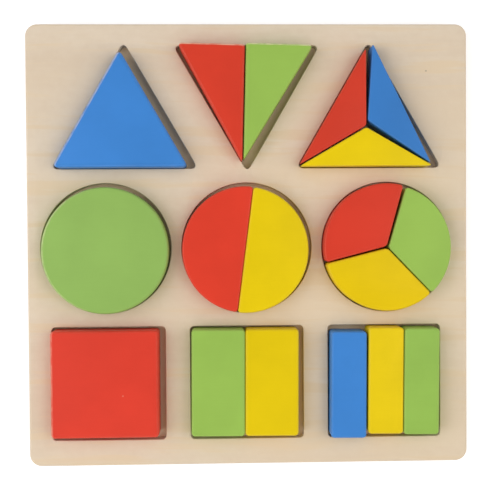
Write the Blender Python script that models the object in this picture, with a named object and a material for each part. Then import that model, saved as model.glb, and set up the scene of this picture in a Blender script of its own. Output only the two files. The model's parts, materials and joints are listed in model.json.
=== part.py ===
"""A wooden fraction puzzle: a pierced plywood board with a thin backing, and eighteen loose painted blocks.

Three triangles, three discs and three squares lie in nine recesses: one of each is whole, one is sawn into
halves and one into thirds. Lengths are in metres. +X is to the right and +Y away from someone who sits at the
board, +Z is up, and the origin is at the middle of the board's underside.
"""

import math

import bmesh
import bpy
from mathutils import Vector

# The board
BASE_THICK = 0.003
FRAME_THICK = 0.006
BOARD_CORNER_RADIUS = 0.006
BOARD_EDGE_RADIUS = 0.0012
RECESS_CORNER_RADIUS = 0.002

# The wood left between and around the recesses
TOP_RIM = 0.0109
BOTTOM_RIM = 0.0131
SIDE_RIM = 0.0077
TRIANGLE_DISC_WEB = 0.0073
DISC_SQUARE_WEB = 0.0068
TRIANGLE_WEB = 0.0208
DISC_WEB = 0.0052
SQUARE_WEB = 0.0126

# How far each row of recesses lies to the right of the board's middle line
TRIANGLE_ROW_SHIFT = -0.0004
DISC_ROW_SHIFT = -0.001
SQUARE_ROW_SHIFT = -0.0012

# The blocks
BLOCK_THICK = 0.015
BLOCK_EDGE_RADIUS = 0.0015
TRIANGLE_SIDE = 0.0672
DISC_DIAMETER = 0.0636
SQUARE_SIDE = 0.054
SQUARE_CORNER_RADIUS = 0.0018
SAW_KERF = 0.0004
HALF_DISC_TURN = -7.5
THIRD_DISC_TURN = -16.0

# Clearances: the play between a whole block and the wall of its recess, on each side, and the gaps that keep
# pieces that touch each other apart
TRIANGLE_PLAY = 0.0021
DISC_PLAY = 0.0014
SQUARE_PLAY = 0.002
GLUE_GAP = 0.0003
REST_GAP = 0.0003

# How finely round stretches are divided, and the angle in degrees from which an edge counts as sharp
DISC_STEPS = 72
CORNER_STEPS = 5
ROUND_STEPS = 3
SHARP_ANGLE = 30.0

# Sizes that follow
TRIANGLE_RECESS_SIDE = TRIANGLE_SIDE + 2 * math.sqrt(3) * TRIANGLE_PLAY
DISC_RECESS_RADIUS = DISC_DIAMETER / 2 + DISC_PLAY
SQUARE_RECESS_SIDE = SQUARE_SIDE + 2 * SQUARE_PLAY
TRIANGLE_INNER = TRIANGLE_RECESS_SIDE / (2 * math.sqrt(3))
TRIANGLE_BAND = 3 * TRIANGLE_INNER - RECESS_CORNER_RADIUS
TRIANGLE_STEP_UP = TRIANGLE_BAND - 2 * TRIANGLE_INNER
TRIANGLE_PITCH = (2 * TRIANGLE_INNER + TRIANGLE_WEB - TRIANGLE_STEP_UP / 2) / math.cos(math.radians(30))
DISC_PITCH = 2 * DISC_RECESS_RADIUS + DISC_WEB
SQUARE_PITCH = SQUARE_RECESS_SIDE + SQUARE_WEB

TRIANGLE_ROW_WIDTH = 2 * TRIANGLE_PITCH + TRIANGLE_RECESS_SIDE
DISC_ROW_WIDTH = 2 * (DISC_PITCH + DISC_RECESS_RADIUS)
SQUARE_ROW_WIDTH = 2 * SQUARE_PITCH + SQUARE_RECESS_SIDE
BOARD_WIDTH = max(TRIANGLE_ROW_WIDTH, DISC_ROW_WIDTH, SQUARE_ROW_WIDTH) + 2 * SIDE_RIM
BOARD_LENGTH = (
    TOP_RIM
    + TRIANGLE_BAND
    + TRIANGLE_DISC_WEB
    + 2 * DISC_RECESS_RADIUS
    + DISC_SQUARE_WEB
    + SQUARE_RECESS_SIDE
    + BOTTOM_RIM
)

TRIANGLE_BAND_TOP = BOARD_LENGTH / 2 - TOP_RIM
TRIANGLE_BAND_BOTTOM = TRIANGLE_BAND_TOP - TRIANGLE_BAND
DISC_ROW_Y = TRIANGLE_BAND_BOTTOM - TRIANGLE_DISC_WEB - DISC_RECESS_RADIUS
SQUARE_ROW_Y = DISC_ROW_Y - DISC_RECESS_RADIUS - DISC_SQUARE_WEB - SQUARE_RECESS_SIDE / 2

FRAME_BOTTOM = BASE_THICK + GLUE_GAP
FRAME_TOP = FRAME_BOTTOM + FRAME_THICK
BLOCK_BOTTOM = BASE_THICK + REST_GAP
CUTTER_OVERLAP = FRAME_THICK / 2

BLUE = (0.056, 0.235, 0.610)
RED = (0.680, 0.055, 0.030)
GREEN = (0.323, 0.509, 0.100)
YELLOW = (0.800, 0.590, 0.015)
PLYWOOD = (0.708, 0.578, 0.423)
BACKING = (0.760, 0.640, 0.480)
PAINT_ROUGHNESS = 0.3
WOOD_ROUGHNESS = 0.62


def polar(radius, angle):
    """The point at a radius and an angle in degrees."""
    return radius * Vector((math.cos(math.radians(angle)), math.sin(math.radians(angle))))


def arc(radius, first, last, steps):
    """Points along an arc about the origin, both ends included."""
    return [polar(radius, first + (last - first) * step / steps) for step in range(steps + 1)]


def equilateral(side, apex):
    """A triangle about the origin with one corner at the angle apex."""
    return [polar(side / math.sqrt(3), apex + turn) for turn in (0, 120, 240)]


def rectangle(width, length):
    """A rectangle about the origin."""
    right, top = width / 2, length / 2
    return [Vector((-right, -top)), Vector((right, -top)), Vector((right, top)), Vector((-right, top))]


def circle(radius):
    """A circle about the origin."""
    return arc(radius, 0, 360, DISC_STEPS)[:-1]


def rounded(outline, radius):
    """A convex outline with its corners turned into arcs."""
    points = []
    for corner, before, after in zip(outline, outline[-1:] + outline[:-1], outline[1:] + outline[:1]):
        to_before = (before - corner).normalized()
        to_after = (after - corner).normalized()
        half_angle = to_before.angle(to_after) / 2
        centre = corner + (to_before + to_after).normalized() * (radius / math.sin(half_angle))
        start = corner + to_before * (radius / math.tan(half_angle)) - centre
        first = math.degrees(math.atan2(start.y, start.x))
        last = first + 180 - 2 * math.degrees(half_angle)
        points += [centre + point for point in arc(radius, first, last, CORNER_STEPS)]
    return points


def sawn(outline, through, angle):
    """What is left of a convex outline on the left of a saw cut, less half of the kerf."""
    left = polar(1, angle + 90)
    depths = [(point - through).dot(left) - SAW_KERF / 2 for point in outline]
    kept = []
    for index, (here, depth) in enumerate(zip(outline, depths)):
        following = (index + 1) % len(outline)
        if depth >= 0:
            kept.append(here)
        if depth * depths[following] < 0:
            kept.append(here.lerp(outline[following], depth / (depth - depths[following])))
    return kept


def sector(first, span):
    """A slice of the disc between two saw cuts through its middle, less half of the kerf along each."""
    radius = DISC_DIAMETER / 2
    lost = math.degrees(math.asin(SAW_KERF / 2 / radius))
    points = arc(radius, first + lost, first + span - lost, round(DISC_STEPS * span / 360))
    if span < 180:
        points.append(polar(SAW_KERF / 2 / math.sin(math.radians(span / 2)), first + span / 2))
    return points


def half_triangles():
    """The left and the right half of a triangle that points down."""
    whole = equilateral(TRIANGLE_SIDE, -90)
    middle = Vector((0, 0))
    return sawn(whole, middle, 90), sawn(whole, middle, -90)


def third_triangles():
    """The left, the bottom and the right third of a triangle that points up, cut from corner to middle."""
    whole = equilateral(TRIANGLE_SIDE, 90)
    middle = Vector((0, 0))
    return [sawn(sawn(whole, middle, first), middle, first - 60) for first in (90, 210, 330)]


def half_squares():
    """The left and the right half of the square, with their corners sanded round."""
    whole = rectangle(SQUARE_SIDE, SQUARE_SIDE)
    middle = Vector((0, 0))
    halves = (sawn(whole, middle, 90), sawn(whole, middle, -90))
    return [rounded(half, SQUARE_CORNER_RADIUS) for half in halves]


def third_squares():
    """The left, the middle and the right strip of the square, with their corners sanded round."""
    whole = rectangle(SQUARE_SIDE, SQUARE_SIDE)
    left_cut = Vector((-SQUARE_SIDE / 6, 0))
    right_cut = Vector((SQUARE_SIDE / 6, 0))
    strips = (
        sawn(whole, left_cut, 90),
        sawn(sawn(whole, left_cut, -90), right_cut, 90),
        sawn(whole, right_cut, -90),
    )
    return [rounded(strip, SQUARE_CORNER_RADIUS) for strip in strips]


def add_prism(bm, outline, bottom, top):
    """Adds an upright prism and returns its two levels of points."""
    floor = bm.faces.new([bm.verts.new((point.x, point.y, bottom)) for point in outline])
    raised = bmesh.ops.extrude_face_region(bm, geom=[floor])["geom"]
    top_points = [item for item in raised if isinstance(item, bmesh.types.BMVert)]
    bmesh.ops.translate(bm, verts=top_points, vec=(0, 0, top - bottom))
    return list(floor.verts), top_points


def round_rim(bm, points, radius):
    """Rounds the edges that run between the points of one level."""
    level = set(points)
    edges = [edge for edge in bm.edges if set(edge.verts) <= level]
    bmesh.ops.bevel(bm, geom=edges, offset=radius, segments=ROUND_STEPS, profile=0.5, affect="EDGES")


def finish(bm, name):
    """Turns the working mesh into a named object of the puzzle."""
    bmesh.ops.recalc_face_normals(bm, faces=bm.faces)
    mesh = bpy.data.meshes.new(name)
    bm.to_mesh(mesh)
    bm.free()
    mesh.shade_smooth()
    mesh.set_sharp_from_angle(angle=math.radians(SHARP_ANGLE))
    made = bpy.data.objects.new(name, mesh)
    bpy.context.scene.collection.objects.link(made)
    return made


def colour(made, base_colour, roughness):
    """Gives an object its own plain material."""
    material = bpy.data.materials.new(made.name)
    material.use_nodes = True
    shader = material.node_tree.nodes["Principled BSDF"]
    shader.inputs["Base Color"].default_value = (*base_colour, 1)
    shader.inputs["Roughness"].default_value = roughness
    shader.inputs["Metallic"].default_value = 0
    made.data.materials.append(material)


def recess_centres():
    """The middles of the nine recesses, row by row from the left. The second triangle points down."""
    upright = TRIANGLE_BAND_BOTTOM + TRIANGLE_INNER
    upside_down = TRIANGLE_BAND_TOP - TRIANGLE_INNER
    triangles = [
        Vector((TRIANGLE_ROW_SHIFT - TRIANGLE_PITCH, upright)),
        Vector((TRIANGLE_ROW_SHIFT, upside_down)),
        Vector((TRIANGLE_ROW_SHIFT + TRIANGLE_PITCH, upright)),
    ]
    discs = [Vector((DISC_ROW_SHIFT + column * DISC_PITCH, DISC_ROW_Y)) for column in (-1, 0, 1)]
    squares = [Vector((SQUARE_ROW_SHIFT + column * SQUARE_PITCH, SQUARE_ROW_Y)) for column in (-1, 0, 1)]
    return triangles, discs, squares


def build_base_plate(puzzle):
    """The thin backing, rounded along its lower rim."""
    bm = bmesh.new()
    outline = rounded(rectangle(BOARD_WIDTH, BOARD_LENGTH), BOARD_CORNER_RADIUS)
    lower, _ = add_prism(bm, outline, 0, BASE_THICK)
    round_rim(bm, lower, BOARD_EDGE_RADIUS)
    plate = finish(bm, "base_plate")
    plate.parent = puzzle
    colour(plate, BACKING, WOOD_ROUGHNESS)


def build_frame_plate(puzzle, centres):
    """The thick plate, rounded along its upper rim, with the nine recesses sawn right through it."""
    bm = bmesh.new()
    outline = rounded(rectangle(BOARD_WIDTH, BOARD_LENGTH), BOARD_CORNER_RADIUS)
    _, upper = add_prism(bm, outline, FRAME_BOTTOM, FRAME_TOP)
    round_rim(bm, upper, BOARD_EDGE_RADIUS)
    plate = finish(bm, "frame_plate")
    plate.parent = puzzle
    colour(plate, PLYWOOD, WOOD_ROUGHNESS)

    triangles, discs, squares = centres
    square = rounded(rectangle(SQUARE_RECESS_SIDE, SQUARE_RECESS_SIDE), RECESS_CORNER_RADIUS)
    openings = [(centre, circle(DISC_RECESS_RADIUS)) for centre in discs]
    openings += [(centre, square) for centre in squares]
    for centre, apex in zip(triangles, (90, -90, 90)):
        openings.append((centre, rounded(equilateral(TRIANGLE_RECESS_SIDE, apex), RECESS_CORNER_RADIUS)))

    bm = bmesh.new()
    for centre, outline in openings:
        moved = [centre + point for point in outline]
        add_prism(bm, moved, FRAME_BOTTOM - CUTTER_OVERLAP, FRAME_TOP + CUTTER_OVERLAP)
    cutter = finish(bm, "recess_cutter")
    cutter.parent = puzzle
    cutter.hide_render = True
    cutter.display_type = "WIRE"
    cut = plate.modifiers.new("Recesses", "BOOLEAN")
    cut.operation = "DIFFERENCE"
    cut.object = cutter


def build_block(puzzle, name, paint, outline, centre, play, reach, lie, set_turn=0.0):
    """One loose block. Its lie is how far it has slid right and up and turned, as shares of the play."""
    right, up, turn = lie
    bm = bmesh.new()
    add_prism(bm, outline, 0, BLOCK_THICK)
    block = finish(bm, name)
    block.parent = puzzle
    block.location = (centre.x + right * play, centre.y + up * play, BLOCK_BOTTOM)
    block.rotation_euler.z = math.radians(set_turn) + turn * play / reach
    colour(block, paint, PAINT_ROUGHNESS)
    bevel = block.modifiers.new("Rounded edges", "BEVEL")
    bevel.width = BLOCK_EDGE_RADIUS
    bevel.segments = ROUND_STEPS
    bevel.limit_method = "ANGLE"
    bevel.angle_limit = math.radians(SHARP_ANGLE)


def build_triangles(puzzle, centres):
    """The whole triangle, the two halves and the three thirds."""
    whole, halves, thirds = centres
    fit = {"play": TRIANGLE_PLAY, "reach": TRIANGLE_SIDE / math.sqrt(3)}
    outline = equilateral(TRIANGLE_SIDE, 90)
    build_block(puzzle, "triangle_whole_blue", BLUE, outline, whole, lie=(-0.65, -0.78, 0.0), **fit)

    left, right = half_triangles()
    build_block(puzzle, "triangle_half_red", RED, left, halves, lie=(-0.53, 0.28, -0.53), **fit)
    build_block(puzzle, "triangle_half_green", GREEN, right, halves, lie=(-0.39, 0.65, -0.53), **fit)

    left, bottom, right = third_triangles()
    build_block(puzzle, "triangle_third_red", RED, left, thirds, lie=(-0.95, -0.26, 0.0), **fit)
    build_block(puzzle, "triangle_third_yellow", YELLOW, bottom, thirds, lie=(-1.15, -0.57, 0.0), **fit)
    build_block(puzzle, "triangle_third_blue", BLUE, right, thirds, lie=(-1.01, 0.91, -1.28), **fit)


def build_discs(puzzle, centres):
    """The whole disc, the two halves and the three thirds."""
    whole, halves, thirds = centres
    fit = {"play": DISC_PLAY, "reach": DISC_DIAMETER / 2}
    outline = circle(DISC_DIAMETER / 2)
    build_block(puzzle, "disc_whole_green", GREEN, outline, whole, lie=(0.3, -0.62, 0.0), **fit)

    fit["set_turn"] = HALF_DISC_TURN
    build_block(puzzle, "disc_half_red", RED, sector(90, 180), halves, lie=(-0.45, -0.6, 0.0), **fit)
    build_block(puzzle, "disc_half_yellow", YELLOW, sector(-90, 180), halves, lie=(-0.35, -0.68, 0.0), **fit)

    fit["set_turn"] = THIRD_DISC_TURN
    build_block(puzzle, "disc_third_red", RED, sector(90, 120), thirds, lie=(-0.36, 0.22, 0.2), **fit)
    build_block(puzzle, "disc_third_yellow", YELLOW, sector(210, 120), thirds, lie=(-0.2, -0.22, 0.0), **fit)
    build_block(puzzle, "disc_third_green", GREEN, sector(330, 120), thirds, lie=(0.0, -0.08, -0.15), **fit)


def build_squares(puzzle, centres):
    """The whole square, the two halves and the three strips."""
    whole, halves, thirds = centres
    fit = {"play": SQUARE_PLAY, "reach": SQUARE_SIDE / math.sqrt(2)}
    outline = rounded(rectangle(SQUARE_SIDE, SQUARE_SIDE), SQUARE_CORNER_RADIUS)
    build_block(puzzle, "square_whole_red", RED, outline, whole, lie=(-0.55, 0.48, 0.0), **fit)

    left, right = half_squares()
    build_block(puzzle, "square_half_green", GREEN, left, halves, lie=(-0.62, 0.5, -0.12), **fit)
    build_block(puzzle, "square_half_yellow", YELLOW, right, halves, lie=(-0.57, 0.55, -0.12), **fit)

    left, middle, right = third_squares()
    build_block(puzzle, "square_third_blue", BLUE, left, thirds, lie=(-0.6, -0.35, -0.15), **fit)
    build_block(puzzle, "square_third_yellow", YELLOW, middle, thirds, lie=(-0.25, 0.5, -0.2), **fit)
    build_block(puzzle, "square_third_green", GREEN, right, thirds, lie=(-0.15, 0.2, -0.25), **fit)


def main():
    for old in list(bpy.data.objects):
        bpy.data.objects.remove(old)
    puzzle = bpy.data.objects.new("puzzle", None)
    bpy.context.scene.collection.objects.link(puzzle)
    centres = recess_centres()
    triangles, discs, squares = centres
    build_base_plate(puzzle)
    build_frame_plate(puzzle, centres)
    build_triangles(puzzle, triangles)
    build_discs(puzzle, discs)
    build_squares(puzzle, squares)


main()
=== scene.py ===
# %% [markdown]
# # A wooden fraction puzzle
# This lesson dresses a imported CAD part: a pierced plywood board with a thin backing, and eighteen painted
# blocks that lie loose in nine recesses. The CAD nodes hold the sizes and the motion. Here each piece is
# modelled again with fine rounded edges, and gets a finish made from nodes.
# Lengths are in metres. +X is to the right, +Y is away from the player and +Z is up.

# %% Load the frame
import json
import math

import bmesh
import bpy
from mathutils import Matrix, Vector

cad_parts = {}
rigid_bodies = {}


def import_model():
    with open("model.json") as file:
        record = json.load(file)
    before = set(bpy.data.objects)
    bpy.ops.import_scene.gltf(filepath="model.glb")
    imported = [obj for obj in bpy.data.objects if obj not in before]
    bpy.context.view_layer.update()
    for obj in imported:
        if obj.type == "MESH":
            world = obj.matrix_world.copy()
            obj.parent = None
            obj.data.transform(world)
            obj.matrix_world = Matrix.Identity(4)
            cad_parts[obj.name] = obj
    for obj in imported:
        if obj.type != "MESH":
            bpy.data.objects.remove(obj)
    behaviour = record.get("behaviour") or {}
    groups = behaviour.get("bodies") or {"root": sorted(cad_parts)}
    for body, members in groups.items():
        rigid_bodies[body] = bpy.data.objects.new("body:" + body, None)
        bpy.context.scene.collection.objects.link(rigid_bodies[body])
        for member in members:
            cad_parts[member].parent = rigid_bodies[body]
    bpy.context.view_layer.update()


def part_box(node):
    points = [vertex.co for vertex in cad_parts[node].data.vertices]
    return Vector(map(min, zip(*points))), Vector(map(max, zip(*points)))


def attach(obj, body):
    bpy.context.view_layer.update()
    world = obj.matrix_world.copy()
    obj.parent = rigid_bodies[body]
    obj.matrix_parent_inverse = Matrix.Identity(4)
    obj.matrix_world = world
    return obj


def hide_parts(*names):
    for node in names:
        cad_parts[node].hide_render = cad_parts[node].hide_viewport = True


for leftover in list(bpy.data.objects):
    bpy.data.objects.remove(leftover)
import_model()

# %% [markdown]
# ## Working by hand, in code
# Every piece below starts as a primitive and is shaped in edit mode. An operator works on whatever is
# selected, so two habits matter: clear the selection before adding a primitive, and select edges by where
# they are just before shaping them. These helpers keep both habits in one place.

# %% Start a piece, pick its edges, put it down
SMOOTH_TURN = math.radians(30)


def start_prism(name, corners, reach, height, turn=0.0):
    """Adds an upright prism in edit mode. Before the turn, its outline's first corner points along +Y."""
    bpy.ops.object.select_all(action="DESELECT")
    bpy.ops.mesh.primitive_circle_add(
        vertices=corners, radius=reach, fill_type="NGON", rotation=(0, 0, math.radians(turn))
    )
    piece = bpy.context.object
    piece.name = piece.data.name = name
    bpy.ops.object.transform_apply(location=False, rotation=True, scale=False)
    bpy.ops.object.mode_set(mode="EDIT")
    bpy.ops.mesh.select_all(action="SELECT")
    bpy.ops.mesh.extrude_region_move(TRANSFORM_OT_translate={"value": (0, 0, height)})
    bpy.ops.mesh.select_all(action="SELECT")
    bpy.ops.mesh.normals_make_consistent(inside=False)
    return piece


def pick_edges(piece, wanted):
    """Selects the edges that pass a test, and no others, and returns how many there are."""
    bpy.ops.mesh.select_mode(type="EDGE")
    bpy.ops.mesh.select_all(action="DESELECT")
    working = bmesh.from_edit_mesh(piece.data)
    chosen = [edge for edge in working.edges if wanted(edge)]
    for edge in chosen:
        edge.select_set(True)
    bmesh.update_edit_mesh(piece.data)
    return len(chosen)


def put_down(piece, place, turn=0.0):
    """Leaves edit mode and moves a piece into place, with its place kept in its mesh."""
    bpy.ops.object.mode_set(mode="OBJECT")
    piece.rotation_euler.z = math.radians(turn)
    piece.location = place
    bpy.ops.object.transform_apply(location=True, rotation=True, scale=True)
    bpy.ops.object.shade_smooth_by_angle(angle=SMOOTH_TURN)


print("helpers ready")

# %% Tests for edges
SAME_PLACE = 1e-6
NEARLY_UPRIGHT = 0.99

# Angles between the normals of an edge's two faces: the least at a sharp edge, and that at a 60 degree tip
SHARP_TURN = math.radians(25)
TIP_TURN = math.radians(120)
TIP_SLACK = 0.05


def upright(edge):
    """True for an edge that stands upright."""
    along = (edge.verts[1].co - edge.verts[0].co).normalized()
    return abs(along.z) > NEARLY_UPRIGHT


def turns_sharply(edge):
    """True for an edge whose two faces meet at a sharp turn."""
    return len(edge.link_faces) == 2 and edge.calc_face_angle() > SHARP_TURN


def stands_sharp(edge):
    """True for a sharp edge that stands upright."""
    return upright(edge) and turns_sharply(edge)


def tip_of_60(edge):
    """True for an upright edge where two sides meet at 60 degrees, as at the corner of a whole triangle."""
    return upright(edge) and abs(edge.calc_face_angle() - TIP_TURN) < TIP_SLACK


def lies_flat(edge):
    """True for a sharp edge that runs level."""
    return abs(edge.verts[1].co.z - edge.verts[0].co.z) < SAME_PLACE and turns_sharply(edge)


print("tests ready")

# %% [markdown]
# ## The sizes of the blocks
# The sizes are those of the CAD part. The whole and the halved triangle have rounder tips than their CAD
# nodes, so their sharp outline is a little longer, and the tips reach about as far. A block's place is read
# from its CAD node. A loose block never lies quite square, so two things are written down here: its turn, and
# the little way that it has slid in its recess.

# %% Sizes
BLOCK_THICK = 0.015
TRIANGLE_SIDE = 0.0672
ROUND_TIPPED_SIDE = 0.068
DISC_RADIUS = 0.0318
SQUARE_SIDE = 0.054
DISC_CORNERS = 96

# Roundings of whole blocks and of sawn ones: upright corners in plan, the rims, and what is still sharp.
# The thirds of a triangle have no 60 degree tip, so they have no corner radius.
WHOLE_CORNER_RADIUS = 0.0019
WHOLE_EDGE_RADIUS = 0.0015
SAWN_CORNER_RADII = {"triangle down": 0.0016, "disc": 0.0016, "square": 0.0018}
SAWN_EDGE_RADII = {"triangle": 0.0007, "triangle down": 0.0013, "disc": 0.0011, "square": 0.0012}
LAST_OFFSET = 0.0011
EDGE_STEPS = 6
TIP_STEPS = 12
LAST_STEPS = 3

# In a 60 degree tip, a rounding starts this many times its radius from the corner.
TIP_REACH = math.sqrt(3)
SAW_KERFS = {"triangle": 0.0001, "triangle down": 0.00015, "disc": 0.0001, "square": 0.0001}
print("block:", BLOCK_THICK, "m thick, triangle", TRIANGLE_SIDE, "square", SQUARE_SIDE)

# %% The blocks and their saw cuts
HALF_STRIP = SQUARE_SIDE / 6

# Each saw cut runs through a point on the middle line, and keeps what lies towards an angle in degrees.
CUTS = {
    "whole": [],
    "left half": [(0, 180)],
    "right half": [(0, 0)],
    "left third": [(0, 180), (0, 120)],
    "bottom third": [(0, 300), (0, 240)],
    "right third": [(0, 60), (0, 0)],
    "left strip": [(-HALF_STRIP, 180)],
    "middle strip": [(-HALF_STRIP, 0), (HALF_STRIP, 180)],
    "right strip": [(HALF_STRIP, 0)],
}

# Each block: its CAD node, its outline, what the saw leaves of it, and its turn in degrees
BLOCKS = [
    ("triangle_whole_blue", "whole triangle", "whole", 0.0),
    ("triangle_half_red", "triangle down", "left half", -1.64),
    ("triangle_half_green", "triangle down", "right half", -1.64),
    ("triangle_third_red", "triangle", "left third", 0.0),
    ("triangle_third_yellow", "triangle", "bottom third", 0.0),
    ("triangle_third_blue", "triangle", "right third", -3.97),
    ("disc_whole_green", "disc", "whole", 0.0),
    ("disc_half_red", "disc", "left half", -7.5),
    ("disc_half_yellow", "disc", "right half", -7.5),
    ("disc_third_red", "disc", "left third", -15.5),
    ("disc_third_yellow", "disc", "bottom third", -16.0),
    ("disc_third_green", "disc", "right third", -16.38),
    ("square_whole_red", "square", "whole", 0.0),
    ("square_half_green", "square", "left half", -0.36),
    ("square_half_yellow", "square", "right half", -0.36),
    ("square_third_blue", "square", "left strip", -0.45),
    ("square_third_yellow", "square", "middle strip", -0.6),
    ("square_third_green", "square", "right strip", -0.75),
]

# How far a loose block has slid in its recess from where its CAD node lies, towards +X and +Y
NUDGES = {
    "triangle_whole_blue": (0.0, -0.0002),
    "triangle_half_red": (-0.0002, 0.0),
    "triangle_half_green": (-0.0004, 0.0),
    "triangle_third_red": (-0.00055, -0.00023),
    "triangle_third_yellow": (-0.00022, -0.0003),
    "triangle_third_blue": (0.0001, -0.0002),
    "disc_half_red": (-0.0001, 0.00005),
    "disc_half_yellow": (-0.00035, 0.0),
    "disc_third_red": (-0.0004, 0.0),
    "disc_third_yellow": (-0.00045, -0.00012),
    "disc_third_green": (-0.0003, -0.00025),
    "square_half_green": (0.0001, 0.0),
    "square_half_yellow": (-0.0001, 0.0),
    "square_third_yellow": (0.0, 0.0003),
    "square_third_green": (-0.0001, 0.0006),
}
print("blocks to saw:", len(BLOCKS))

# %% [markdown]
# ## Sawing and sanding the blocks
# In the workshop a block starts as a whole triangle, disc or square. It is sawn into halves or thirds, and
# every edge is then sanded round before painting. The same order works here: a prism, and a bisect for each
# saw cut that removes one side, with half the kerf, and fills the cut face.
#
# Sanding is three bevels. The upright corners that are visibly round in plan come first: those of discs and
# squares, and the 60 degree tips of triangles. Then come the rims, and last a small bevel on the corners that
# are still sharp. One bevel over everything would be shorter, but in the narrow tips of the triangle's halves
# and thirds it folds over itself.

# %% Saw and sand
def saw(point, kept):
    """Removes what lies on the other side of an upright saw cut. Kept is the direction of what stays."""
    bpy.ops.mesh.select_all(action="SELECT")
    bpy.ops.mesh.bisect(plane_co=point, plane_no=kept, use_fill=True, clear_inner=True, threshold=SAME_PLACE)


def sand(block, shape, is_whole):
    """Rounds the corners, then the rims, then what is still sharp. Returns how many rim edges there were."""
    corner_radius = WHOLE_CORNER_RADIUS if is_whole else SAWN_CORNER_RADII.get(shape)
    if shape in ("disc", "square") and pick_edges(block, stands_sharp):
        bpy.ops.mesh.bevel(offset=corner_radius, segments=EDGE_STEPS, affect="EDGES")
    elif pick_edges(block, tip_of_60):
        bpy.ops.mesh.bevel(offset=corner_radius * TIP_REACH, segments=TIP_STEPS, affect="EDGES")
    rims = pick_edges(block, lies_flat)
    edge_radius = WHOLE_EDGE_RADIUS if is_whole else SAWN_EDGE_RADII[shape]
    bpy.ops.mesh.bevel(offset=edge_radius, segments=EDGE_STEPS, affect="EDGES", clamp_overlap=False)
    if pick_edges(block, turns_sharply):
        bpy.ops.mesh.bevel(offset=LAST_OFFSET, segments=LAST_STEPS, affect="EDGES")
    return rims


def lay_in_place(block, node, is_whole):
    """Moves a block to its CAD node: by the middles of their boxes, but a whole one by its near side."""
    low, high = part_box(node)
    corners_of_box = [Vector(corner) for corner in block.bound_box]
    own_low = min(corners_of_box, key=sum)
    own_high = max(corners_of_box, key=sum)
    shift = (low + high - own_low - own_high) / 2
    if is_whole:
        shift.y = low.y - own_low.y
    block.location = shift + Vector((*NUDGES.get(node, (0.0, 0.0)), 0.0))
    bpy.ops.object.transform_apply(location=True, rotation=False, scale=False)


print("saw and sander ready")

# %% Make the blocks
# An outline has a number of corners, a reach from its middle to a corner, and a turn in degrees.
OUTLINES = {
    "whole triangle": (3, ROUND_TIPPED_SIDE / math.sqrt(3), 0),
    "triangle down": (3, ROUND_TIPPED_SIDE / math.sqrt(3), 180),
    "triangle": (3, TRIANGLE_SIDE / math.sqrt(3), 0),
    "disc": (DISC_CORNERS, DISC_RADIUS, 0),
    "square": (4, SQUARE_SIDE / math.sqrt(2), 45),
}


def make_block(node, shape, cut, turn):
    """One block, sawn, sanded and laid where its CAD node lies."""
    corners, reach, outline_turn = OUTLINES[shape]
    block = start_prism(node + "_painted", corners, reach, BLOCK_THICK, outline_turn)
    for through, keep_towards in CUTS[cut]:
        kept = Vector((math.cos(math.radians(keep_towards)), math.sin(math.radians(keep_towards)), 0))
        saw(Vector((through, 0, 0)) + kept * SAW_KERFS[shape] / 2, kept)
    rims = sand(block, shape, cut == "whole")
    put_down(block, (0, 0, 0), turn)
    lay_in_place(block, node, cut == "whole")
    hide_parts(node)
    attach(block, node + "_body")
    return block, rims


blocks = {}
for node, shape, cut, turn in BLOCKS:
    blocks[node], rims = make_block(node, shape, cut, turn)
    print(node, cut, "rim edges sanded:", rims, "faces:", len(blocks[node].data.polygons))

# %% [markdown]
# ## The board
# The real board is a plate of plywood with nine cut-outs, glued on a thin backing that makes the floor of the
# recesses. The plate starts as a cube, its corners and upper rim are rounded with bevels, and one Boolean
# takes out nine cutters for the recesses. The rim of each recess is then broken with a fine bevel, as
# sandpaper leaves it.

# %% Sizes of the board
frame_low, frame_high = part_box("frame_plate")
base_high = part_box("base_plate")[1]
BASE_THICK = base_high.z
FRAME_TOP = frame_high.z
GLUE_LINE = 0.00005
BOARD_CORNER_RADIUS = 0.006
BOARD_CORNER_STEPS = 10
BOARD_EDGE_RADIUS = 0.0012
RECESS_CORNER_RADIUS = 0.002
RECESS_RIM_RADIUS = 0.0004
RECESS_RIM_STEPS = 3
TRIANGLE_PLAY = 0.0021
DISC_PLAY = 0.0014
SQUARE_PLAY = 0.002
TRIANGLE_RECESS_SIDE = TRIANGLE_SIDE + 2 * math.sqrt(3) * TRIANGLE_PLAY
DISC_RECESS_RADIUS = DISC_RADIUS + DISC_PLAY
SQUARE_RECESS_SIDE = SQUARE_SIDE + 2 * SQUARE_PLAY

# The rows of recesses: how far right of the board's middle, how far apart, and how far up the board
TRIANGLE_ROW_RIGHT, TRIANGLE_PITCH, TRIANGLE_ROW_UP = -0.0004, 0.06241, 0.0606
DOWN_TRIANGLE_UP = 0.0801
DISC_ROW_RIGHT, DISC_PITCH, DISC_ROW_UP = -0.001, 0.0716, -0.00138
SQUARE_ROW_RIGHT, SQUARE_PITCH, SQUARE_ROW_UP = -0.0012, 0.0706, -0.07038
RECESSES = [("triangle down", TRIANGLE_ROW_RIGHT, DOWN_TRIANGLE_UP)]
for column in (-1, 1):
    RECESSES.append(("triangle", TRIANGLE_ROW_RIGHT + column * TRIANGLE_PITCH, TRIANGLE_ROW_UP))
for column in (-1, 0, 1):
    RECESSES.append(("disc", DISC_ROW_RIGHT + column * DISC_PITCH, DISC_ROW_UP))
    RECESSES.append(("square", SQUARE_ROW_RIGHT + column * SQUARE_PITCH, SQUARE_ROW_UP))
print("board:", [round(side, 4) for side in frame_high - frame_low], "recesses:", len(RECESSES))

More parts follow.
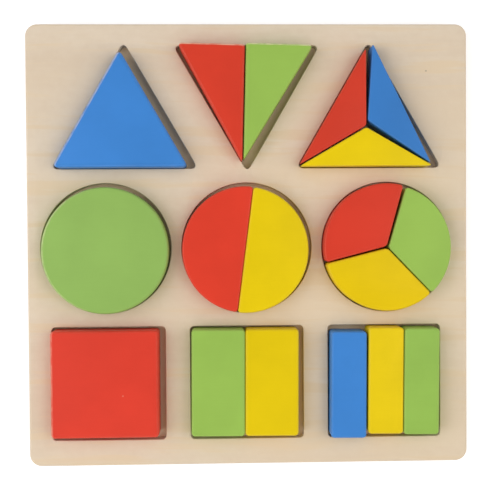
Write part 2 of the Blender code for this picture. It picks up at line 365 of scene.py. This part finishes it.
# %% Make the backing and the plate
def start_plate(name, bottom, top):
    """Adds a plate of the board's size, in edit mode, with its four corners rounded."""
    bpy.ops.object.select_all(action="DESELECT")
    width, length = (frame_high - frame_low).xy
    bpy.ops.mesh.primitive_cube_add(size=1, location=(0, 0, (bottom + top) / 2))
    plate = bpy.context.object
    plate.name = plate.data.name = name
    plate.scale = (width, length, top - bottom)
    bpy.ops.object.transform_apply(location=True, rotation=True, scale=True)
    bpy.ops.object.mode_set(mode="EDIT")
    pick_edges(plate, upright)
    bpy.ops.mesh.bevel(offset=BOARD_CORNER_RADIUS, segments=BOARD_CORNER_STEPS, affect="EDGES")
    return plate


def round_rim(plate, level, radius, steps):
    """Rounds the sharp edges that lie at one level, and returns how many there were."""

    def at_level(edge):
        return all(abs(point.co.z - level) < SAME_PLACE for point in edge.verts) and turns_sharply(edge)

    count = pick_edges(plate, at_level)
    bpy.ops.mesh.bevel(offset=radius, segments=steps, affect="EDGES", clamp_overlap=False)
    return count


backing = start_plate("backing", 0, BASE_THICK)
round_rim(backing, 0, BOARD_EDGE_RADIUS, EDGE_STEPS)
put_down(backing, (0, 0, 0))
plate = start_plate("pierced_plate", BASE_THICK + GLUE_LINE, FRAME_TOP)
round_rim(plate, FRAME_TOP, BOARD_EDGE_RADIUS, EDGE_STEPS)
put_down(plate, (0, 0, 0))
print("plate faces:", len(plate.data.polygons))

# %% Make the cutters
# An outline as for the blocks, and last how far from each corner its rounding starts
TIP_OFFSET = RECESS_CORNER_RADIUS * TIP_REACH
RECESS_OUTLINES = {
    "triangle": (3, TRIANGLE_RECESS_SIDE / math.sqrt(3), 0, TIP_OFFSET),
    "triangle down": (3, TRIANGLE_RECESS_SIDE / math.sqrt(3), 180, TIP_OFFSET),
    "disc": (DISC_CORNERS, DISC_RECESS_RADIUS, 0, 0),
    "square": (4, SQUARE_RECESS_SIDE / math.sqrt(2), 45, RECESS_CORNER_RADIUS),
}
cutters = []
for shape, right, up in RECESSES:
    corners, reach, outline_turn, corner_offset = RECESS_OUTLINES[shape]
    cutter = start_prism("recess_cutter", corners, reach, 2 * FRAME_TOP, outline_turn)
    if corner_offset:
        pick_edges(cutter, upright)
        bpy.ops.mesh.bevel(offset=corner_offset, segments=EDGE_STEPS, affect="EDGES")
    put_down(cutter, (right, up, 0))
    cutters.append(cutter)
print("cutters:", len(cutters))

# %% Cut the recesses
bpy.ops.object.select_all(action="DESELECT")
for cutter in cutters:
    cutter.select_set(True)
bpy.context.view_layer.objects.active = cutters[0]
bpy.ops.object.join()
nine_cutters = bpy.context.object
recess_cut = plate.modifiers.new("Recesses", "BOOLEAN")
recess_cut.operation = "DIFFERENCE"
recess_cut.solver = "EXACT"
recess_cut.object = nine_cutters
bpy.ops.object.select_all(action="DESELECT")
plate.select_set(True)
bpy.context.view_layer.objects.active = plate
bpy.ops.object.modifier_apply(modifier=recess_cut.name)
bpy.data.objects.remove(nine_cutters)
bpy.ops.object.mode_set(mode="EDIT")
recess_rims = round_rim(plate, FRAME_TOP, RECESS_RIM_RADIUS, RECESS_RIM_STEPS)
put_down(plate, (0, 0, 0))
print("rim edges broken:", recess_rims, "plate faces:", len(plate.data.polygons))

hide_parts("frame_plate")
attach(plate, "board")
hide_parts("base_plate")
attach(backing, "board")

# %% [markdown]
# ## Shader maths as expressions
# Finishes are made from nodes. Wiring Math nodes by hand hides the idea behind a pattern, so a small class
# wraps an output socket: adding or multiplying two of them adds the Math node. Every other node comes from
# one method.

# %% The wire class
# A Mix node has sockets for each kind of data. These are the numbers of its factor, colours and mixed colour.
MIX_FACTOR, MIX_A, MIX_B, MIX_RESULT = 0, 6, 7, 2


class Wire:
    """An output socket of a material. Arithmetic on wires adds Math nodes."""

    def __init__(self, tree, socket):
        self.tree = tree
        self.socket = socket

    @classmethod
    def node(cls, tree, kind, settings=None, inputs=None, output=0):
        """Adds a node, sets its settings, then fills its sockets with values or wires."""
        made = tree.nodes.new(kind)
        for name, value in (settings or {}).items():
            if name == "stops":
                ramp = made.color_ramp.elements
                while len(ramp) < len(value):
                    ramp.new(1.0)
                for stop, (position, colour) in zip(ramp, value):
                    stop.position = position
                    stop.color = (*colour, 1)
            else:
                setattr(made, name, value)
        for name, value in (inputs or {}).items():
            if isinstance(value, Wire):
                tree.links.new(value.socket, made.inputs[name])
            else:
                made.inputs[name].default_value = value
        return cls(tree, made.outputs[output])

    def make(self, kind, settings=None, inputs=None, output=0):
        """Adds a node to the same material."""
        return Wire.node(self.tree, kind, settings, inputs, output)

    def math(self, operation, first, second):
        """Adds a Math node."""
        return self.make("ShaderNodeMath", {"operation": operation}, {0: first, 1: second})

    def __add__(self, other):
        return self.math("ADD", self, other)

    def __radd__(self, other):
        return self.math("ADD", other, self)

    def __sub__(self, other):
        return self.math("SUBTRACT", self, other)

    def __rsub__(self, other):
        return self.math("SUBTRACT", other, self)

    def __mul__(self, other):
        return self.math("MULTIPLY", self, other)

    def __rmul__(self, other):
        return self.math("MULTIPLY", other, self)

    def step(self, low, high, smooth=True):
        """0 below low and 1 above high, with a ramp between them."""
        interpolation = "SMOOTHSTEP" if smooth else "LINEAR"
        ends = {"Value": self, "From Min": low, "From Max": high, "To Min": 0.0, "To Max": 1.0}
        return self.make("ShaderNodeMapRange", {"interpolation_type": interpolation}, ends)

    def upward(self):
        """How far a vector points up, or how high a place is."""
        return self.make("ShaderNodeSeparateXYZ", inputs={"Vector": self}, output="Z")

    def stretched(self, x, y, z):
        """Coordinates that run faster or slower along each axis."""
        scale = {"Vector": self, "Scale": (x, y, z)}
        return self.make("ShaderNodeMapping", {"vector_type": "POINT"}, scale)

    def noise(self, detail=2.0, roughness=0.5):
        """Noise at one cell per unit of these coordinates."""
        inputs = {"Vector": self, "Scale": 1.0, "Detail": detail, "Roughness": roughness}
        return self.make("ShaderNodeTexNoise", {"noise_dimensions": "3D"}, inputs)

    def mixed(self, colour_a, colour_b):
        """Colour a where this wire is 0 and colour b where it is 1."""
        rgba_a = colour_a if isinstance(colour_a, Wire) else (*colour_a, 1)
        rgba_b = colour_b if isinstance(colour_b, Wire) else (*colour_b, 1)
        settings = {"data_type": "RGBA", "blend_type": "MIX"}
        inputs = {MIX_FACTOR: self, MIX_A: rgba_a, MIX_B: rgba_b}
        return self.make("ShaderNodeMix", settings, inputs, output=MIX_RESULT)


print("wires ready")

# %% What the finishes share
BUMP_HEIGHT = 0.0002


def new_finish(name):
    """A material with its Principled shader and its Object coordinates."""
    material = bpy.data.materials.new(name)
    material.use_nodes = True
    tree = material.node_tree
    shader = tree.nodes["Principled BSDF"]
    place = Wire.node(tree, "ShaderNodeTexCoord", output="Object")
    return material, shader, place


def feed(shader, socket, wire):
    """Links a wire to one of the shader's sockets."""
    wire.tree.links.new(wire.socket, shader.inputs[socket])


def roughen(shader, height, strength):
    """Gives a surface a fine relief."""
    inputs = {"Strength": strength, "Distance": BUMP_HEIGHT, "Height": height}
    feed(shader, "Normal", height.make("ShaderNodeBump", inputs=inputs))


def scattered_dots(place, rate, dot, rare):
    """1 in small dots. Dot is where a dot's rim starts and ends, and rare is how much noise lets dots be."""
    cells = {"Vector": place, "Scale": rate, "Randomness": 1.0}
    distance = place.make("ShaderNodeTexVoronoi", {"feature": "F1"}, cells)
    return (1 - distance.step(*dot)) * place.stretched(rate, rate, rate).noise(detail=0.0).step(*rare)


print("shared parts of finishes ready")

# %% [markdown]
# ## Paint
# The blocks carry a thin, satin, water-based paint. It isn't quite even: broad patches are a little lighter
# or darker, the wood's grain shows as faint ridges, and a few pale dust specks sit in it. Some blocks are
# painted
# deeper or paler than others of their colour. This is partly the paint's own variation and partly painted
# light:
# painted shade towards the top right, and a painted white sheen on some blocks at the left and bottom. Some
# rims are painted pale, most on one side of each block: partly rubbed paint, where the wood shows through,
# and partly a painted highlight. A rim is found by its normal, which is neither level nor upright there, and
# noise breaks the pale line. The marks run on Object coordinates, so no two blocks carry the same ones.

# %% Colours, coats with painted light, and pale rims
PAINTS = {
    "blue": (0.050, 0.225, 0.600),
    "red": (0.700, 0.047, 0.022),
    "green": (0.305, 0.490, 0.085),
    "yellow": (0.760, 0.550, 0.002),
}
# Pale wood, lighter than the plate's: bare wood in rubbed rims and dust specks, and a painted highlight on
# rims
BARE_WOOD_AND_HIGHLIGHT = (0.900, 0.740, 0.520)

# Blocks painted deeper, below 1, or paler, above 1, than the rest of their paint, channel by channel: partly
# the paint's own variation, and partly painted shade towards the top right and a painted white sheen at the
# left and bottom
COATS_AND_PAINTED_LIGHT = {
    "triangle_half_red": (0.93, 1.00, 1.00),
    "triangle_third_red": (0.87, 0.95, 0.95),
    "triangle_third_blue": (0.85, 0.85, 0.85),
    "triangle_third_yellow": (1.05, 1.05, 1.00),
    "disc_whole_green": (0.90, 0.92, 1.22),
    "disc_third_red": (0.93, 0.97, 1.00),
    "disc_third_yellow": (0.99, 0.95, 1.00),
    "square_whole_red": (1.00, 1.06, 1.22),
    "square_half_yellow": (0.96, 0.96, 1.00),
    "square_third_yellow": (1.02, 1.02, 3.00),
    "square_third_green": (0.95, 0.98, 1.00),
}

# Blocks with a pale rim, partly rubbed paint and partly a painted highlight: the side of the block, towards
# +X and
# +Y, and how much
RUBBED_AND_LIT_RIMS = {
    "triangle_whole_blue": (-0.9, 0.4, 0.55),
    "triangle_half_red": (0.0, 1.0, 1.0),
    "triangle_half_green": (0.0, 1.0, 1.0),
    "disc_whole_green": (-1.0, 0.0, 0.4),
    "square_whole_red": (-1.0, 0.0, 0.3),
}
# Coats of their own carry painted shade and sheen, and rubbed blocks carry a painted highlight
print("paints:", len(PAINTS), "coats of their own:", len(COATS_AND_PAINTED_LIGHT), "rubbed blocks:", len(RUBBED_AND_LIT_RIMS))

# %% Make the paints
# How many cells of each noise lie in a metre
PATCH_RATE = 38
GRAIN_RATES = (90, 1400, 1400)
FINE_RATE = 2200
PALE_RIM_RATE = 240
SPECK_RATE = 62

PATCH_CONTRAST = 0.05
# Every rim gets a little pale, partly rubbing and partly painted highlight. The pale mixes paint and pale
# wood.
PALE_RIM_EVERYWHERE = 0.05
PAINT_SHARE = 0.45
WOOD_SHARE = 0.55
SPECK_STRENGTH = 0.35
PAINT_RELIEF = 0.05
PAINT_GLOSS = 0.1


def rubbed_and_highlit_rims(place, rubbed_and_lit):
    """How pale a rim is: rubbed paint and painted highlight, only on upper rims and most on the given side.
    """
    side_x, side_y, amount = rubbed_and_lit
    normal = place.make("ShaderNodeNewGeometry", output="Normal")
    facing_up = normal.upward()
    rim = facing_up.step(0.15, 0.4) * (1 - facing_up.step(0.93, 0.995))
    rubbed_and_lit_side = {0: normal, 1: (side_x, side_y, 0)}
    towards = place.make("ShaderNodeVectorMath", {"operation": "DOT_PRODUCT"}, rubbed_and_lit_side, output="Value")
    rub_and_highlight = PALE_RIM_EVERYWHERE + amount * towards.step(0.1, 0.4)
    breaks = place.stretched(PALE_RIM_RATE, PALE_RIM_RATE, PALE_RIM_RATE).noise(detail=3.0).step(0.35, 0.6)
    return rim * rub_and_highlight * (0.4 + 0.6 * breaks)


def make_paint(name, colour, rubbed_and_lit):
    """A satin paint with faint patches, grain, specks, and pale rims of rubbed paint and painted highlight.
    """
    material, shader, place = new_finish(name)
    patches = place.stretched(PATCH_RATE, PATCH_RATE, PATCH_RATE).noise(detail=3.0)
    grain = place.stretched(*GRAIN_RATES).noise(detail=4.0, roughness=0.6)
    fine = place.stretched(FINE_RATE, FINE_RATE, FINE_RATE).noise(detail=2.0)
    darker = tuple(channel * (1 - PATCH_CONTRAST) for channel in colour)
    lighter = tuple(min(1.0, channel * (1 + PATCH_CONTRAST)) for channel in colour)
    pale = tuple(PAINT_SHARE * channel + WOOD_SHARE * bare for channel, bare in zip(colour, BARE_WOOD_AND_HIGHLIGHT))

    tone = (0.85 * patches + 0.15 * grain).step(0.25, 0.75).mixed(darker, lighter)
    # Pale rims: rubbed paint and a painted highlight
    tone = rubbed_and_highlit_rims(place, rubbed_and_lit).mixed(tone, pale)
    specks = scattered_dots(place, SPECK_RATE, dot=(0.018, 0.03), rare=(0.66, 0.68))
    feed(shader, "Base Color", (SPECK_STRENGTH * specks).mixed(tone, pale))
    feed(shader, "Roughness", 0.28 + 0.1 * patches + 0.03 * grain)
    shader.inputs["Specular IOR Level"].default_value = PAINT_GLOSS
    roughen(shader, 0.3 * grain + 0.25 * fine + 0.5 * patches, PAINT_RELIEF)
    return material


for node, block in blocks.items():
    paint = node.rsplit("_", 1)[1]
    # The block's colour is its paint made deeper or paler, partly with painted shade and painted sheen
    coat_and_light = COATS_AND_PAINTED_LIGHT.get(node, (1.0, 1.0, 1.0))
    colour = tuple(share * channel for share, channel in zip(coat_and_light, PAINTS[paint]))
    block.data.materials.append(make_paint(node + "_coat", colour, RUBBED_AND_LIT_RIMS.get(node, (0.0, 0.0, 0.0))))
print("coats of paint:", len(blocks))

# %% [markdown]
# ## Plywood
# The faces are a pale, close-grained veneer whose figure runs from left to right in long, faint, wavy streaks
# and warm clouds, with a fine mottle, pores and a few dark flecks. Each of these has its own noise, and most
# are drawn out along the grain. The edges show the layers of the ply: bands of long grain, and darker bands
# of end grain between them. The normal tells faces and edges apart.

# %% The veneer and the edge
# How many cells of each noise lie in a metre along x, y and z. A figure that is drawn out along the grain has
# ACROSS_GRAIN times as many across it.
ACROSS_GRAIN = 8
WANDER_RATES = (9, 2.25, 9)
BROAD_RATES = (5, 3, 10)
STREAK_RATES = (12, 26, 60)
PORE_RATES = (70, 420, 400)
CLOUD_RATES = (2.5, 2.5, 20)
MOTTLE_RATES = (190, 240, 200)
FIBRE_RATES = (260, 260, 1500)
FLECK_RATE = 75

WANDER = 0.012
WARMER = (1.0, 0.95, 0.85)
FLECK_SHADE = 0.35
END_GRAIN_SHADE = 0.72


def drawn_out(place, rates, run):
    """Coordinates for a figure that is long along the grain."""
    x, y, z = rates
    if run == "x":
        return place.stretched(x, ACROSS_GRAIN * y, z)
    return place.stretched(ACROSS_GRAIN * x, y, z)


def shaded(colour, shade):
    """A darker colour."""
    return tuple(shade * channel for channel in colour)


def veneer(place, light, middle, dark, run):
    """The colour of a plywood's face, with the streaks and the pores that also give it its relief."""
    wander = drawn_out(place, WANDER_RATES, run).noise(detail=1.0)
    shift = place.make("ShaderNodeCombineXYZ", inputs={"X": 0.0, "Y": WANDER * (wander - 0.5), "Z": 0.0})
    wavy = place.make("ShaderNodeVectorMath", {"operation": "ADD"}, {0: place, 1: shift})
    broad = drawn_out(wavy, BROAD_RATES, run).noise(detail=2.0)
    streaks = drawn_out(wavy, STREAK_RATES, run).noise(detail=4.0, roughness=0.55)
    pores = drawn_out(wavy, PORE_RATES, run).noise(detail=3.0, roughness=0.7)
    clouds = drawn_out(wavy, CLOUD_RATES, run).noise(detail=2.0)
    mottle = place.stretched(*MOTTLE_RATES).noise(detail=3.0, roughness=0.6)

    tone = (0.6 * broad + 0.2 * streaks + 0.2 * mottle).step(0.3, 0.7)
    stops = [(0.0, dark), (0.5, middle), (1.0, light)]
    face = tone.make("ShaderNodeValToRGB", {"stops": stops}, {"Fac": tone})
    warm = tuple(share * channel for share, channel in zip(WARMER, middle))
    face = (0.5 * clouds.step(0.45, 0.65)).mixed(face, warm)
    face = (0.9 * streaks.step(0.52, 0.64)).mixed(face, warm)
    face = (0.5 * pores.step(0.60, 0.78)).mixed(face, dark)
    flecks = scattered_dots(place, FLECK_RATE, dot=(0.02, 0.045), rare=(0.66, 0.69))
    face = (0.6 * flecks).mixed(face, shaded(dark, FLECK_SHADE))
    return face, streaks, pores


def layered_edge(place, middle, dark, plies, bottom, top):
    """The colour of a plywood's edge, with the fibres that also give it its relief."""
    two_plies = 2 * (top - bottom) / plies
    layer = place.math("MODULO", (place.upward() - bottom) * (1 / two_plies), 1.0)
    end_grain = layer.step(0.47, 0.53) * (1 - layer.step(0.97, 1.0))
    fibres = place.stretched(*FIBRE_RATES).noise(detail=3.0)
    end_grain_and_fibres = 0.65 * end_grain + 0.35 * fibres.step(0.35, 0.65)
    return end_grain_and_fibres.mixed(middle, shaded(dark, END_GRAIN_SHADE)), fibres


print("veneer and edge ready")

# %% Make the plywoods
PLY_RELIEF = 0.22
PLY_GLOSS = 0.3


def make_plywood(name, light, middle, dark, plies, bottom, top, run):
    """Bare plywood: a veneer figure on its faces and layers on its edges. Run is the grain's direction."""
    material, shader, place = new_finish(name)
    face, streaks, pores = veneer(place, light, middle, dark, run)
    edge, fibres = layered_edge(place, middle, dark, plies, bottom, top)
    facing_up = place.make("ShaderNodeNewGeometry", output="Normal").upward()
    side = 1 - facing_up.math("ABSOLUTE", facing_up, 0.0).step(0.35, 0.6)
    feed(shader, "Base Color", side.mixed(face, edge))
    feed(shader, "Roughness", 0.56 + 0.14 * streaks + 0.08 * side)
    shader.inputs["Specular IOR Level"].default_value = PLY_GLOSS
    roughen(shader, 0.5 * streaks + 0.7 * pores + 0.6 * (side * fibres), PLY_RELIEF)
    return material


plywood = make_plywood(
    "frame_ply",
    light=(0.755, 0.637, 0.497),
    middle=(0.714, 0.588, 0.443),
    dark=(0.672, 0.534, 0.388),
    plies=5,
    bottom=BASE_THICK,
    top=FRAME_TOP,
    run="x",
)
backing_ply = make_plywood(
    "backing_ply",
    light=(0.810, 0.630, 0.430),
    middle=(0.775, 0.590, 0.395),
    dark=(0.710, 0.525, 0.340),
    plies=3,
    bottom=0.0,
    top=BASE_THICK,
    run="y",
)
plate.data.materials.append(plywood)
backing.data.materials.append(backing_ply)
print("plywoods:", plywood.name, backing_ply.name)

# %% [markdown]
# ## Studio
# The board lies on a white table and is seen from almost straight above. Most of the light comes from two
# large soft lamps, a strong cool one at the left and a weaker one at the right, so each recess has a dark
# side. A small lamp hangs high at the right, and a small warm one fills from the near side. Walls and ceiling
# shed little light, which keeps the recesses deep, but the camera sees them and the far floor white. Close to
# the board the floor still takes its shadow.

# %% Floor
FLOOR_SIZE = 6.0
FLOOR_DROP = 0.0002
FLOOR_COLOUR = (0.9, 0.9, 0.9, 1)
FLOOR_ROUGHNESS = 0.8

# The floor's glow close to the board, and how far from the board's middle it starts to grow and is full
NEAR_GLOW = 0.3
GLOW_GROWS = 0.2
GLOW_FULL = 1.0

bpy.ops.object.select_all(action="DESELECT")
bpy.ops.mesh.primitive_plane_add(size=FLOOR_SIZE, location=(0, 0, -FLOOR_DROP))
floor = bpy.context.object
floor.name = "floor"
bpy.ops.object.transform_apply(location=True, rotation=True, scale=True)
white, white_shader, floor_place = new_finish("white_table")
white_shader.inputs["Base Color"].default_value = FLOOR_COLOUR
white_shader.inputs["Roughness"].default_value = FLOOR_ROUGHNESS


def is_shown(tree):
    """1 where the camera sees the backdrop, also in a mirror or through glass, and 0 for its light."""
    seen = Wire.node(tree, "ShaderNodeLightPath", output="Is Camera Ray")
    mirrored = Wire(tree, seen.socket.node.outputs["Is Glossy Ray"])
    let_through = Wire(tree, seen.socket.node.outputs["Is Transmission Ray"])
    return (seen + mirrored + let_through).step(0.0, 1.0, smooth=False)


from_middle = floor_place.make("ShaderNodeVectorMath", {"operation": "LENGTH"}, {0: floor_place}, "Value")
glow = NEAR_GLOW + (1 - NEAR_GLOW) * from_middle.step(GLOW_GROWS, GLOW_FULL)
feed(white_shader, "Emission Color", (is_shown(white.node_tree) * glow).mixed((0, 0, 0), (1, 1, 1)))
white_shader.inputs["Emission Strength"].default_value = 1.0
floor.data.materials.append(white)
print("floor:", FLOOR_SIZE, "m square")

# %% Lamps
LAMP_DISTANCE = 0.95
NEUTRAL = (1.0, 1.0, 1.0)
COOL = (0.97, 1.0, 1.06)
WARM = (1.0, 0.90, 0.76)


def add_lamp(name, size, azimuth, elevation, power, tint):
    """A square soft lamp that faces the middle of the board. Angles are in degrees and power in watts."""
    level = math.radians(elevation)
    around = math.radians(azimuth)
    away = Vector((math.cos(around) * math.cos(level), math.sin(around) * math.cos(level), math.sin(level)))
    bpy.ops.object.light_add(type="AREA", location=away * LAMP_DISTANCE)
    lamp = bpy.context.object
    lamp.name = name
    lamp.data.shape = "SQUARE"
    lamp.data.size = size
    lamp.data.energy = power
    lamp.data.color = tint
    lamp.rotation_mode = "QUATERNION"
    lamp.rotation_quaternion = away.to_track_quat("Z", "Y")
    print(name, power, "W")


add_lamp("lamp_left", size=0.9, azimuth=184, elevation=40, power=5.05, tint=COOL)
add_lamp("lamp_right", size=0.9, azimuth=356, elevation=40, power=2.85, tint=NEUTRAL)
add_lamp("lamp_high", size=0.3, azimuth=10, elevation=66, power=0.6, tint=NEUTRAL)
add_lamp("lamp_near", size=0.5, azimuth=268, elevation=45, power=0.9, tint=WARM)

# %% World
WALL_GLOW = 0.43
CEILING_GLOW = 0.48

# How steeply a direction rises where the walls end, and where the ceiling begins
WALL_ENDS = 0.15
CEILING_BEGINS = 0.4

world = bpy.data.worlds.new("studio")
bpy.context.scene.world = world
world.use_nodes = True
sky = world.node_tree.nodes["Background"]
sky.inputs["Color"].default_value = (1, 1, 1, 1)
direction = Wire.node(world.node_tree, "ShaderNodeTexCoord", output="Generated")
shed = WALL_GLOW + (CEILING_GLOW - WALL_GLOW) * direction.upward().step(WALL_ENDS, CEILING_BEGINS)
feed(sky, "Strength", shed + is_shown(world.node_tree) * (1 - shed))
print("walls shed", WALL_GLOW, "and the ceiling", CEILING_GLOW)

# %% [markdown]
# ## Camera
# The photograph was taken from almost straight above, a little left of the middle, with a normal lens.

# %% Place the camera
IMAGE_SIDE = 500
FOCAL_PIXELS = 867.8
SENSOR_MM = 36.0
CAMERA_PLACE = (-0.01217, 0.00700, 0.45305)
CAMERA_TURN = (-0.02145, -0.02918, -0.00681)
NEAREST_SEEN = 0.01
FARTHEST_SEEN = 20

camera_data = bpy.data.cameras.new("camera")
camera = bpy.data.objects.new("camera", camera_data)
bpy.context.scene.collection.objects.link(camera)
camera_data.sensor_width = SENSOR_MM
camera_data.lens = FOCAL_PIXELS / IMAGE_SIDE * SENSOR_MM
camera_data.clip_start = NEAREST_SEEN
camera_data.clip_end = FARTHEST_SEEN
camera.location = CAMERA_PLACE
camera.rotation_euler = CAMERA_TURN
bpy.context.scene.camera = camera
bpy.context.scene.view_settings.view_transform = "Standard"
print("lens:", round(camera_data.lens, 2), "mm")

# %% [markdown]
# ## Last step
# The view layer is brought up to date. The dressed model has to stay inside the CAD part's box.

# %% Update the view layer
bpy.context.view_layer.update()
